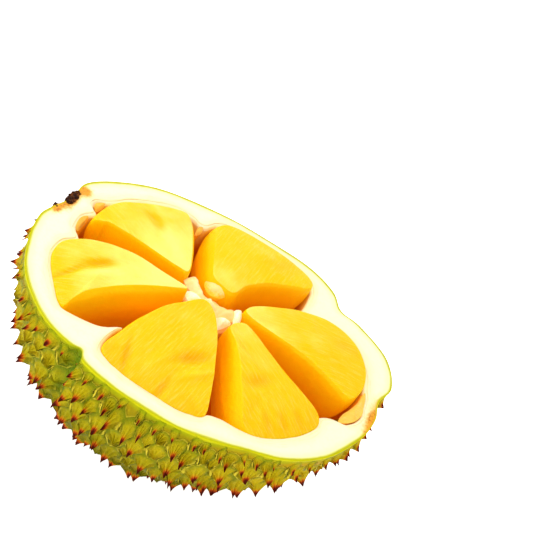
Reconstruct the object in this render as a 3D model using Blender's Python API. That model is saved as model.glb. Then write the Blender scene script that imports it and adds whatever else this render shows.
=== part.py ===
"""Half a jackfruit, cut lengthwise, lying on its curved back with the cut face up.

The long axis of the fruit is X, with the stalk end at -X and the blossom tip at +X. The cut face
is level at the top. The origin is on the ground, under the middle of the fruit. Plan sizes are
in millimetres here, and MM turns them into metres.
"""

import math

import bmesh
import bpy
import numpy as np
from mathutils.geometry import delaunay_2d_cdt

MM = 0.001

# Rind half
CUT_HEIGHT = 139.0  # the cut face above the ground
BODY_DEPTH = 141.0  # the body below the cut face; the ground plane shaves its last 2 mm flat
SECTION_POWER = 2.1  # roundness of the body's cross sections, 2 for an ellipse
END_TUCK = 0.06  # how much fuller the long sides are than the two ends
RIM_COLUMNS = 128  # points round the rim and round the hollow
RIM_COLUMNS_PER_FOOT = 4  # columns at the rim for each one round the flat spot
MIDDLE = (0.8, -0.5)  # middle of the finished fruit in plan, which goes over the origin

# Spines; a reach runs from 0 under the middle of the back to 1 at the rim
GOLDEN_ANGLE = math.pi * (3 - math.sqrt(5))
SPINE_COUNT = 500
SPINE_HEIGHT = 8.0
SPINE_FADE = 0.12  # the spines shorten over this last part of the reach to the rim
SHORTEST_SPINE = 0.2  # height of the spines next to the rim, as a part of the others'
SPINE_LIMITS = (0.03, 0.982)  # clearance from the flat spot, and the last reach under the rim
SPINE_SPAN = 0.985  # reach of the last spine of the layout, before its scatter
SPINE_SAG = 0.02  # how far each spine sits below the middle of its scale, in reach
SPINE_SCATTER = 0.028  # sideways scatter of the spines, as a part of the half length
REACH_SCATTER = 0.6  # scatter of the spines' reach, as a part of the sideways scatter
SCATTER_SEED = 5
BARE_SHARE = 0.38  # share of the scales that carry no thorn
BARE_HEIGHT = 0.3  # height of a bare scale's tip, as a part of a thorn's
BARE_SEED = 9

# Hollow of the half
HOLLOW_DEPTH = 66.0
# Rows down the hollow's wall: part of the upper edge's reach, and depth
HOLLOW_WALL = ((1, 0), (0.997, 12), (0.985, 36), (0.94, 52), (0.84, 61), (0.5, HOLLOW_DEPTH))
GAP = 0.3  # clearance between two pieces that touch

# Soft wedges, the shape of the bulbs, the lobes and the core's tufts
CORNER_STEPS = 3  # points from each given corner to the next
WEDGE_TOP = ((0.5, 0.75), (0.92, 0.15))  # rows on the top: part of the edge's size, of the crown
EDGE_DROP = 1.0  # how far the upper edge is rounded down
SHOULDER_FLARE = 0.6  # part of the flare that the side has reached at the shoulder
SHOULDER_DROP = (0.07, 0.3)  # drop of the shoulder: part of the depth, and of the flare
GIRTH_DROP = 0.16  # depth of the widest row, as a part of the wedge's depth
LEAST_GIRTH_DROP = 0.04  # and at least this part of the depth under the shoulder
# Rows on the underside: part of the girth's size, of the depth, and of the lean
WEDGE_UNDERSIDE = ((0.93, 0.5, 0.2), (0.7, 0.83, 0.7), (0.4, 0.98, 1))

# Bulbs
BULB_DEPTH = 57.0
BULB_CROWN = 3.5  # rise of a bulb's top above its edge
BULB_DRAW_IN = 0.07  # lean of the undersides to the core

# Points on the rim of the cut face, counterclockwise from the blossom tip
RIM = (
    (157, 12), (153, 33), (157, 57), (141, 84), (108, 98), (87, 100), (72, 115), (43, 123),
    (2, 120), (-43, 112), (-97, 92), (-130, 66), (-149, 40), (-149, 16), (-155, -7), (-157, -24),
    (-149, -53), (-131, -84), (-101, -107), (-74, -114), (-63, -113), (-54, -121),
    (-20, -124), (22, -120), (54, -110), (80, -97), (113, -79), (138, -51), (153, -16),
)

# Points on the upper edge of the hollow, counterclockwise from the blossom tip
HOLLOW = (
    (145, 18), (144, 28), (139, 38), (134.5, 50), (127.5, 60.5), (115, 71), (100, 77), (82, 76),
    (70, 72.5), (60, 68), (61, 80), (60, 92), (56, 103), (46, 110), (27, 112), (-2, 110),
    (-25, 107), (-37, 103), (-45, 96), (-50, 87), (-56, 84), (-62, 86), (-77, 85), (-91, 77),
    (-112, 58), (-120, 46), (-127, 37), (-134, 30), (-134, 22), (-128, 17), (-134, 5),
    (-132, -10), (-127, -15), (-124, -20), (-130, -29), (-131, -42), (-128, -54), (-120, -67),
    (-108, -80), (-100, -88), (-92, -90), (-69, -85), (-58, -78), (-51.5, -71), (-54, -81),
    (-55, -92), (-52, -103), (-39, -107.5), (-20, -109), (3, -108), (24, -105), (38, -98.5),
    (43, -92), (54, -87), (66, -85.5), (83, -80), (95, -71), (107, -58), (115.5, -45),
    (119.5, -33), (119, -23), (126, -15.5), (141, -10), (148, 4),
)

# Upper edge of each bulb, counterclockwise: x, y, height over the cut face, flare of the side
BULBS = {
    "bulb_stalk_far": (
        (-37, 19, 9, 3), (-50, 50, 8, 6), (-62, 71, 7, 6), (-72, 77, 6, 4), (-90, 65, 6, 8),
        (-104, 54, 5, 7), (-116, 41, 5, 4), (-122, 25, 5, 2), (-123, 6, 5, 2), (-116, 7, 7, 2),
        (-107, 11, 8, 2), (-73, 13, 9, 2), (-46, 14, 9, 2),
    ),
    "bulb_far": (
        (3, 30, 7, 3), (8, 45, 8, 3), (19, 60, 9, 3), (36, 76, 9, 3), (50, 87, 8, 2),
        (54, 98, 6, 1), (45, 106, 5, 1), (25, 109, 5, 1), (-4, 107, 5, 1), (-26, 103, 5, 1),
        (-37, 97, 5, 1.5), (-40, 85, 6, 5), (-34, 65, 8, 8), (-26, 47, 8, 8), (-19, 32, 8, 7),
        (-9, 28, 8, 5),
    ),
    "bulb_tip_far": (
        (21, 20, 7, 2), (33, 17, 8, 3), (54, 17, 9, 3), (76, 17, 9, 3), (99, 15, 8, 3),
        (118, 12, 6, 3), (129, 12, 4, 2), (134, 22, 3, 1), (135, 35, 3, 1), (131.5, 49, 3, 1),
        (125, 59, 4, 1), (114, 68, 5, 1), (98, 74, 5, 1), (79, 72, 6, 1), (58, 60, 8, 2),
        (41, 46, 9, 2), (28, 34, 9, 2), (21, 26, 8, 2),
    ),
    "bulb_tip_near": (
        (17, -5, 7, 2), (28, -18, 9, 5), (41, -36, 9, 8), (53, -56, 8, 9), (61, -69, 5, 8),
        (67, -77, 1, 5), (79, -80, -1, 0.5), (93, -70.5, -1, 0), (105.5, -57, -1, 0),
        (114, -43, -1, 0), (118, -31, 0, 0.5), (114, -23, 2, 1), (104, -20, 5, 2),
        (90, -17, 7, 3), (78, -14, 8, 3), (54, -5, 9, 3), (36, 3, 9, 3), (24, 6, 8, 2),
    ),
    "bulb_near": (
        (-13, 1, 8, 2), (-24, -14, 8, 3), (-34, -32, 9, 3), (-43, -59, 8, 3), (-48, -80, 6, 2),
        (-52, -94, 3, 0.5), (-50, -101, 0, 0), (-39, -105.5, -1, 0), (-20, -107, -1, 0),
        (2, -106, -1, 0), (23, -103, -1, 0), (36, -97, -1, 0), (40, -91, 1, 1), (36, -79, 4, 2),
        (29, -62, 7, 2), (21, -42, 8, 2), (11, -21, 9, 2), (-1, -3, 8, 2),
    ),
    "bulb_stalk_near": (
        (-30, 1, 8, 2), (-51, -1, 8, 3), (-74, -2, 8, 3), (-95, -8, 7, 3), (-112, -17, 6, 2),
        (-122, -26, 5, 1), (-128, -35, 4, 1), (-129, -44, 3, 0.5), (-126, -54, 1, 0.5),
        (-118.5, -65, 0, 0.5), (-107.5, -77.5, 0, 0.5), (-100, -85, 0, 0.5), (-94, -87, 1, 1),
        (-92, -77, 4, 4), (-88, -66, 7, 7), (-79, -52, 8, 8), (-66, -36, 9, 8), (-50, -19, 9, 8),
        (-35, -5, 8, 5),
    ),
}

# Small unfilled lobes in the corners of the hollow, laid out like the bulbs
LOBES = {
    "lobe_stalk": (
        (-129.5, -9.5, -1, 0), (-132, -2, 0, 0), (-131.5, 5, 0, 0), (-128.5, 11, -2, 0),
        (-127.5, 6, -5, 0), (-127.5, -1, -6, 0), (-127, -8, -4, 0),
    ),
    "lobe_stalk_far": (
        (-131, 23.5, 0, 0), (-131, 28.5, 0, 0), (-126.5, 33, 0, 0), (-125.5, 29, -3, 0),
        (-127.5, 22.5, -4, 0),
    ),
    "lobe_far": ((-54.5, 79, -1, 0), (-51.5, 83, -1, 0), (-50, 78, -4, 0), (-53, 74, -5, 0)),
    "lobe_tip": (
        (139, 32, 0, 0), (141.5, 26, 0, 0), (143.5, 17, 0, 0), (145, 9, 0, 0), (143.5, 1, -1, 0),
        (140.5, -5, -1, 0), (136, -8.5, -3, 0), (131.5, -8.5, -5, 0), (132, 1, -6, 0),
        (135, 9, -4, 0), (137.5, 18, -2, 0), (138, 27, -1, 0),
    ),
}
LOBE_DEPTH = 24.0
LOBE_CROWN = 1.0

# Core
CORE_BASE = (-4, 9)  # middle of the lump on the hollow's floor
CORE_BASE_SIZE = (24, 19, 8.5)  # its half length, half width and half height
CORE_TUFTS = (
    (
        (-32.5, 15.5, 3, 0), (-31, 21, 3, 0), (-28.5, 23.5, 3, 0), (-24, 19.5, 3, 0),
        (-17, 13.5, 2, 0), (-11, 12.5, 2, 0), (-5, 9.5, 2, 0), (-12, 7, 2, 0), (-15.5, 4.5, 2, 0),
        (-20, 1, 2, 0), (-23, 0, 2, 0), (-26, 6, 3, 0), (-30, 11, 3, 0),
    ),
    (
        (2.5, 6, 2, 0), (5.5, 13, 3, 0), (9, 18.5, 3, 0), (13.5, 22.5, 3, 0), (16.5, 21.5, 3, 0),
        (16.5, 16, 3, 0), (17, 11.5, 3, 0), (13.5, 7, 2, 0), (12, 1, 2, 0), (10, -5, 2, 0),
        (7.5, -5.5, 2, 0), (5, 0, 2, 0),
    ),
)  # upper edges of the two tufts of strands, laid out like the bulbs
TUFT_DEPTH = 54.0
TUFT_CROWN = 1.5

# Stalk scar
STALK = (-148.5, 16)  # middle of the dry stub
STALK_SIZE = (5, 10, 8)  # half thickness, half width, depth
STALK_TOP = 1.0  # the stub's height over the cut face

# Colours
GREEN = (0.42, 0.47, 0.04)
YELLOW = (0.98, 0.66, 0.03)
PEACH = (0.98, 0.80, 0.55)
CREAM = (0.98, 0.92, 0.75)
BROWN = (0.10, 0.04, 0.02)
CREASE_ANGLE = math.radians(35)  # a sharper bend between two faces stays an edge


def clear_scene():
    for thing in list(bpy.data.objects):
        bpy.data.objects.remove(thing, do_unlink=True)


def make_material(name, color, roughness):
    material = bpy.data.materials.new(name)
    material.use_nodes = True
    shader = material.node_tree.nodes["Principled BSDF"]
    shader.inputs["Base Color"].default_value = (*color, 1)
    shader.inputs["Roughness"].default_value = roughness
    material.diffuse_color = (*color, 1)
    return material


def add_body(name, points, faces, material):
    """One object from points in millimetres, with its faces turned outwards."""
    mesh = bpy.data.meshes.new(name)
    mesh.from_pydata(((np.asarray(points) - (*MIDDLE, 0)) * MM).tolist(), [], faces)
    shape = bmesh.new()
    shape.from_mesh(mesh)
    bmesh.ops.recalc_face_normals(shape, faces=shape.faces)
    if shape.calc_volume(signed=True) < 0:
        bmesh.ops.reverse_faces(shape, faces=shape.faces)
    bmesh.ops.triangulate(shape, faces=shape.faces)
    shape.to_mesh(mesh)
    shape.free()
    mesh.shade_smooth()
    mesh.set_sharp_from_angle(angle=CREASE_ANGLE)
    mesh.materials.append(material)
    body = bpy.data.objects.new(name, mesh)
    bpy.context.scene.collection.objects.link(body)
    return body


def closed_curve(points, per_span):
    """A smooth closed curve through the points, Catmull-Rom, with per_span steps a span."""
    given = np.array(points, float)
    before = np.roll(given, 1, axis=0)
    after = np.roll(given, -1, axis=0)
    beyond = np.roll(given, -2, axis=0)
    steps = (np.arange(per_span) / per_span)[None, :, None]
    a, b, c, d = (p[:, None, :] for p in (before, given, after, beyond))
    curve = 0.5 * (
        2 * b
        + (c - a) * steps
        + (2 * a - 5 * b + 4 * c - d) * steps**2
        + (3 * b - a - 3 * c + d) * steps**3
    )
    return curve.reshape(-1, given.shape[1])


def radius_at(points, angles):
    """Distance from the middle to a closed outline at each angle."""
    curve = closed_curve(points, 12)
    angle = np.arctan2(curve[:, 1], curve[:, 0])
    order = np.argsort(angle)
    return np.interp(angles, angle[order], np.hypot(curve[order, 0], curve[order, 1]), period=2 * math.pi)


def rim_fraction_angles(fractions):
    """Angles that lie at these fractions of the rim's length, so that spacing there is even."""
    angles = np.linspace(-math.pi, math.pi, 721)
    radii = radius_at(RIM, angles)
    rim = np.stack([radii * np.cos(angles), radii * np.sin(angles)], 1)
    run = np.concatenate([[0], np.cumsum(np.hypot(*np.diff(rim, axis=0).T))])
    return np.interp(np.mod(fractions, 1), run / run[-1], angles)


def body_points(angles, reach):
    """Points of the body's outside. reach runs from 0 under the middle to 1 at the rim."""
    drop = (1 - reach) * math.pi / 2
    tuck = -END_TUCK * np.cos(2 * angles) * np.sin(2 * drop)
    spread = np.cos(drop) ** (2 / SECTION_POWER) + tuck
    radii = radius_at(RIM, angles) * spread
    height = CUT_HEIGHT - BODY_DEPTH * np.sin(drop) ** (2 / SECTION_POWER)
    return np.stack([radii * np.cos(angles), radii * np.sin(angles), height], 1)


def body_normals(angles, reach):
    """Outward directions of the body's outside, from small steps along it."""
    step = 1e-3
    along = body_points(angles + step, reach) - body_points(angles - step, reach)
    up = body_points(angles, np.minimum(reach + step, 1)) - body_points(angles, reach - step)
    normal = np.cross(along, up)
    return normal / np.linalg.norm(normal, axis=1)[:, None]


def spine_layout():
    """Angle, reach and height of each scale's tip, in golden-angle order. Some carry no thorn."""
    number = np.arange(SPINE_COUNT)
    random = np.random.default_rng(SCATTER_SEED)
    scatter = random.uniform(-1, 1, (2, SPINE_COUNT)) * SPINE_SCATTER
    reach = np.arccos(1 - (number + 0.5) / SPINE_COUNT) * 2 / math.pi
    turns = number * GOLDEN_ANGLE / (2 * math.pi)
    angles = rim_fraction_angles(turns + scatter[0] / (2 * math.pi * np.maximum(reach, 0.05)))
    bare = np.random.default_rng(BARE_SEED).uniform(0, 1, SPINE_COUNT) <= BARE_SHARE
    height = np.where(bare, SPINE_HEIGHT * BARE_HEIGHT, SPINE_HEIGHT)
    return angles, reach * SPINE_SPAN + scatter[1] * REACH_SCATTER, height


def flat_spot_reach():
    """Reach at which the body's outside meets the ground."""
    drop = math.asin((CUT_HEIGHT / BODY_DEPTH) ** (SECTION_POWER / 2))
    return 1 - drop * 2 / math.pi


def spiny_skin():
    """Rim, spine tips, the valleys between them and the flat spot, as points and triangles."""
    flat = flat_spot_reach()
    angles, reach, tall = spine_layout()
    kept = (reach > flat + SPINE_LIMITS[0]) & (reach < SPINE_LIMITS[1])
    angles = angles[kept]
    reach = reach[kept]
    ring = np.linspace(-math.pi, math.pi, RIM_COLUMNS, endpoint=False)
    foot = ring[::RIM_COLUMNS_PER_FOOT]
    turn = np.concatenate([ring, foot, angles])
    spread = np.concatenate([np.ones(len(ring)), np.full(len(foot), flat), reach])
    sagged = np.concatenate([spread[: -len(reach)], reach - SPINE_SAG])
    flat_plan = np.stack([spread * np.cos(turn), spread * np.sin(turn)], 1)
    borders = [(i, (i + 1) % len(ring)) for i in range(len(ring))]
    borders += [(len(ring) + i, len(ring) + (i + 1) % len(foot)) for i in range(len(foot))]
    triangles = delaunay_2d_cdt(flat_plan.tolist(), borders, [], 0, 1e-7)[2]
    triangles = np.array([t for t in triangles if len(t) == 3])
    hole = np.all((triangles >= len(ring)) & (triangles < len(ring) + len(foot)), axis=1)
    triangles = triangles[~hole]
    valleys = flat_plan[triangles].mean(axis=1)
    plan = np.concatenate([flat_plan, valleys])
    all_reach = np.hypot(plan[:, 0], plan[:, 1])
    all_angles = np.arctan2(plan[:, 1], plan[:, 0])
    all_reach[: len(turn)] = sagged
    all_angles[: len(turn)] = turn
    points = body_points(all_angles, all_reach)
    normals = body_normals(all_angles, all_reach)
    first_tip = len(ring) + len(foot)
    height = np.zeros(len(plan))
    fade = np.clip((1 - reach) / SPINE_FADE, SHORTEST_SPINE, 1)
    height[first_tip : len(turn)] = tall[kept] * fade
    points += normals * height[:, None]
    points[:, 2] = np.maximum(points[:, 2], 0)
    points[len(ring) : first_tip, 2] = 0
    faces = pyramid_faces(triangles, len(turn))
    faces.append(tuple(range(len(ring), first_tip)))
    return points, faces


def pyramid_faces(triangles, first_valley):
    """Each tip joined to the valleys round it: two faces for each edge between two tips."""
    owner = {}
    for number, corners in enumerate(triangles):
        for a, b in zip(corners, np.roll(corners, -1)):
            owner[(int(a), int(b))] = first_valley + number
    faces = []
    for (a, b), valley in owner.items():
        other = owner.get((b, a))
        if other is None:
            faces.append((a, b, valley))
        elif a < b:
            faces.append((a, other, valley))
            faces.append((b, valley, other))
    return faces


def ring_faces(first, second, columns):
    """Quads between two rings of points that start at these numbers."""
    return [
        (first + i, first + (i + 1) % columns, second + (i + 1) % columns, second + i)
        for i in range(columns)
    ]


def build_rind(material):
    """The green skin with its spines, and the pale flesh with the hollow, grown as one piece."""
    points, faces = spiny_skin()
    ring = np.linspace(-math.pi, math.pi, RIM_COLUMNS, endpoint=False)
    edge = radius_at(HOLLOW, ring)
    starts = [0]
    clouds = [points]
    count = len(points)
    for scale, depth in HOLLOW_WALL:
        radii = edge * scale
        height = np.full(RIM_COLUMNS, CUT_HEIGHT - depth)
        clouds.append(np.stack([radii * np.cos(ring), radii * np.sin(ring), height], 1))
        starts.append(count)
        count += RIM_COLUMNS
    clouds.append(np.array([[0, 0, CUT_HEIGHT - HOLLOW_DEPTH]]))
    for first, second in zip(starts, starts[1:]):
        faces += ring_faces(first, second, RIM_COLUMNS)
    faces += [(starts[-1] + i, starts[-1] + (i + 1) % RIM_COLUMNS, count) for i in range(RIM_COLUMNS)]
    return add_body("rind_half", np.concatenate(clouds), faces, material)


def soft_wedge(corners, depth, crown, draw_in):
    """Points and faces of a bulb: a crowned top inside its upper edge, flared sides and a rounded
    underside, which leans to the middle of the fruit by draw_in of its distance from there."""
    curve = closed_curve(corners, CORNER_STEPS)
    edge = curve[:, :2]
    lift = curve[:, 2]
    flare = curve[:, 3]
    middle = edge.mean(axis=0)
    level = lift.mean()
    along = np.roll(edge, -1, axis=0) - np.roll(edge, 1, axis=0)
    outward = np.stack([along[:, 1], -along[:, 0]], 1) / np.hypot(*along.T)[:, None]
    side = outward * flare[:, None]
    girth = edge + side
    shoulder_height = lift - SHOULDER_DROP[0] * depth - SHOULDER_DROP[1] * flare
    girth_height = np.minimum(-GIRTH_DROP * depth, shoulder_height - LEAST_GIRTH_DROP * depth)
    rows = [
        (middle + (edge - middle) * part, level + (lift - level) * part + crown * rise)
        for part, rise in WEDGE_TOP
    ]
    rows.append((edge, lift - EDGE_DROP))
    rows.append((edge + side * SHOULDER_FLARE, shoulder_height))
    rows.append((girth, girth_height))
    for part, drop, lean in WEDGE_UNDERSIDE:
        leaning = middle * (1 - lean * draw_in) + (girth - middle) * part
        rows.append((leaning, np.full(len(edge), -drop * depth)))
    columns = len(edge)
    clouds = [np.array([[*middle, level + crown]])]
    clouds += [np.column_stack([plan, height]) for plan, height in rows]
    clouds.append(np.array([[*(middle * (1 - draw_in)), -depth]]))
    faces = [(0, 1 + i, 1 + (i + 1) % columns) for i in range(columns)]
    for row in range(len(rows) - 1):
        faces += ring_faces(1 + row * columns, 1 + (row + 1) * columns, columns)
    last = 1 + (len(rows) - 1) * columns
    faces += [(last + i, last + columns, last + (i + 1) % columns) for i in range(columns)]
    points = np.concatenate(clouds)
    points[:, 2] += CUT_HEIGHT
    return points, faces


def add_tool(name, points, faces, material):
    """A helper shape that a Boolean uses and nothing shows."""
    tool = add_body(name, points, faces, material)
    tool.hide_render = True
    tool.display_type = "WIRE"
    return tool


def ellipsoid(middle, sizes, columns, rows):
    """Points and faces of an ellipsoid about a middle, with poles on Z."""
    polar = np.linspace(0, math.pi, rows + 1)[1:-1]
    turn = np.linspace(0, 2 * math.pi, columns, endpoint=False)
    across, around = np.meshgrid(polar, turn, indexing="ij")
    shell = np.stack([np.sin(across) * np.cos(around), np.sin(across) * np.sin(around), np.cos(across)], -1)
    points = np.concatenate([shell.reshape(-1, 3), [[0, 0, 1], [0, 0, -1]]])
    top = (rows - 1) * columns
    faces = [(top, i, (i + 1) % columns) for i in range(columns)]
    for row in range(rows - 2):
        faces += ring_faces(row * columns, (row + 1) * columns, columns)
    low = (rows - 2) * columns
    faces += [(low + i, top + 1, low + (i + 1) % columns) for i in range(columns)]
    return points * np.array(sizes) + np.array(middle), faces


def combine(body, tool, operation):
    step = body.modifiers.new(operation.lower(), "BOOLEAN")
    step.operation = operation
    step.solver = "EXACT"
    step.object = tool


def build_core(material):
    """The lump that holds the bulbs, with the two tufts of strands that show between them."""
    floor = CUT_HEIGHT - HOLLOW_DEPTH + GAP
    base = ellipsoid((*CORE_BASE, floor + CORE_BASE_SIZE[2]), CORE_BASE_SIZE, 20, 10)
    core = add_body("core", *base, material)
    for number, corners in enumerate(CORE_TUFTS, start=1):
        tuft = soft_wedge(corners, TUFT_DEPTH, TUFT_CROWN, 0)
        combine(core, add_tool(f"core_tuft_{number}", *tuft, material), "UNION")
    return core


def half_lens(sizes, grown):
    """The stub's lens shape, cut flat at the cut face, and grown outwards by a clearance."""
    middle = (*STALK, CUT_HEIGHT)
    points, faces = ellipsoid(middle, np.array(sizes) + grown, 20, 12)
    points[:, 2] = np.minimum(points[:, 2], CUT_HEIGHT + STALK_TOP + grown)
    return points, faces


def build_stalk(material, rind):
    """The dry stub of the stalk, and its seat in the rind."""
    seat = add_tool("stalk_seat", *half_lens(STALK_SIZE, GAP), material)
    combine(rind, seat, "DIFFERENCE")
    return add_body("stalk_stub", *half_lens(STALK_SIZE, 0), material)


def build():
    clear_scene()
    green = make_material("rind_green", GREEN, 0.5)
    yellow = make_material("bulb_yellow", YELLOW, 0.35)
    peach = make_material("lobe_peach", PEACH, 0.45)
    cream = make_material("core_cream", CREAM, 0.5)
    brown = make_material("stalk_brown", BROWN, 0.8)
    rind = build_rind(green)
    for name, corners in BULBS.items():
        add_body(name, *soft_wedge(corners, BULB_DEPTH, BULB_CROWN, BULB_DRAW_IN), yellow)
    for name, corners in LOBES.items():
        add_body(name, *soft_wedge(corners, LOBE_DEPTH, LOBE_CROWN, 0), peach)
    build_core(cream)
    build_stalk(brown, rind)


build()
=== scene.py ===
"""Looks of half a jackfruit: spiny skin, pale flesh, golden bulbs, lobes, core and stalk stub.

The fruit lies on its curved back with the cut face level and facing up. Its long axis is X, with
the stalk end at -X. Every size is in metres, and the plan points below are in millimetres.
"""

import math
from functools import partial

import bpy
import numpy as np
from mathutils import Matrix, Vector
from mathutils.geometry import delaunay_2d_cdt


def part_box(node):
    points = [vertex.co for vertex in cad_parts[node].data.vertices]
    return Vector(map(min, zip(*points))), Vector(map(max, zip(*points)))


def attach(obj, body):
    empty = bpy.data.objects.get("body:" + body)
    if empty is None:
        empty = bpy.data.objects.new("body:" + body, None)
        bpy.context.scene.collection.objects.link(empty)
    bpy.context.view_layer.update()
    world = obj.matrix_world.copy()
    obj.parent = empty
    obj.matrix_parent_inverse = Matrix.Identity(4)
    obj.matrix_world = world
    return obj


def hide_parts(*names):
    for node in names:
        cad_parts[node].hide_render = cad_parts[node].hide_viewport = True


bl_info = {
    "name": "Half Jackfruit",
    "version": (1, 0, 0),
    "blender": (4, 5, 0),
    "location": "3D View > Sidebar > Jackfruit",
    "description": "Builds the finished surfaces of half a jackfruit",
    "category": "Add Mesh",
}

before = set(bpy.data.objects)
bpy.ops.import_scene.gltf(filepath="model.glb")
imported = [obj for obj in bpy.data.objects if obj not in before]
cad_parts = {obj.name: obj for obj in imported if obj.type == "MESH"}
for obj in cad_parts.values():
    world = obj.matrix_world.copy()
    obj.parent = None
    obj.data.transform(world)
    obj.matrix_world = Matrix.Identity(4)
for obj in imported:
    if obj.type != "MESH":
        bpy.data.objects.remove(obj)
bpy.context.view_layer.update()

MM = 0.001
CUT_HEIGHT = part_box("rind_half")[1][2]
MIDDLE = np.array([0.8, -0.5, 0]) * MM
BODY_DEPTH = CUT_HEIGHT + 2 * MM
SECTION_POWER = 2.1
END_TUCK = 0.06
HOLLOW_DEPTH = 66 * MM
# Reach of the rings of the flesh that lie hidden inside the skin
BURIED_RINGS = (0.12, 0.3, 0.5, 0.7, 0.86, 0.96)
# Rows down the hollow's wall: part of the edge's reach, millimetres further in, and depth
HOLLOW_WALL = (
    (1, 0.4, 0.2), (1, 2.0, 0.8), (1, 3.4, 2.4), (1, 3.8, 6), (0.985, 3, 36), (0.94, 2, 52),
    (0.84, 0, 61), (0.5, 0, 65.5),
)
GOLDEN_ANGLE = math.pi * (3 - math.sqrt(5))
BARE_SHARE = 0.38
BARE_HEIGHT = 0.3
SPINE_LIMITS = (0.03, 0.957)
RIM_SPINE_REACH = 0.978
RIM_COLUMNS = 128
CREASE_ANGLE = math.radians(-117)
CREASE_HALF_WIDTHS = (math.radians(4.0), math.radians(1.2))
CREASE_DEPTH = (0.7 * MM, 1.4 * MM)

# Points on the rim of the cut face, counterclockwise from the blossom tip
RIM = (
    (157, 12), (153, 33), (157, 57), (141, 84), (108, 98), (87, 100), (72, 115), (43, 123),
    (2, 120), (-43, 112), (-97, 92), (-130, 66), (-149, 40), (-149, 16), (-155, -7), (-157, -24),
    (-149, -53), (-131, -84), (-101, -107), (-74, -114), (-63, -113), (-54, -121),
    (-20, -124), (22, -120), (54, -110), (80, -97), (113, -79), (138, -51), (153, -16),
)

# Points on the upper edge of the hollow, counterclockwise from the blossom tip
HOLLOW = (
    (145, 18), (144, 28), (139, 38), (134.5, 50), (127.5, 60.5), (115, 71), (100, 77), (82, 76),
    (70, 72.5), (60, 68), (61, 80), (60, 92), (56, 103), (46, 110), (27, 112), (-2, 110),
    (-25, 107), (-37, 103), (-45, 96), (-50, 87), (-56, 84), (-62, 86), (-77, 85), (-91, 77),
    (-112, 58), (-120, 46), (-127, 37), (-134, 30), (-134, 22), (-128, 17), (-134, 5),
    (-132, -10), (-127, -15), (-124, -20), (-130, -29), (-131, -42), (-128, -54), (-120, -67),
    (-108, -80), (-100, -88), (-92, -90), (-69, -85), (-58, -78), (-51.5, -71), (-54, -81),
    (-55, -92), (-52, -103), (-39, -107.5), (-20, -109), (3, -108), (24, -105), (38, -98.5),
    (43, -92), (54, -87), (66, -85.5), (83, -80), (95, -71), (107, -58), (115.5, -45),
    (119.5, -33), (119, -23), (126, -15.5), (141, -10), (148, 4),
)

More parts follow.
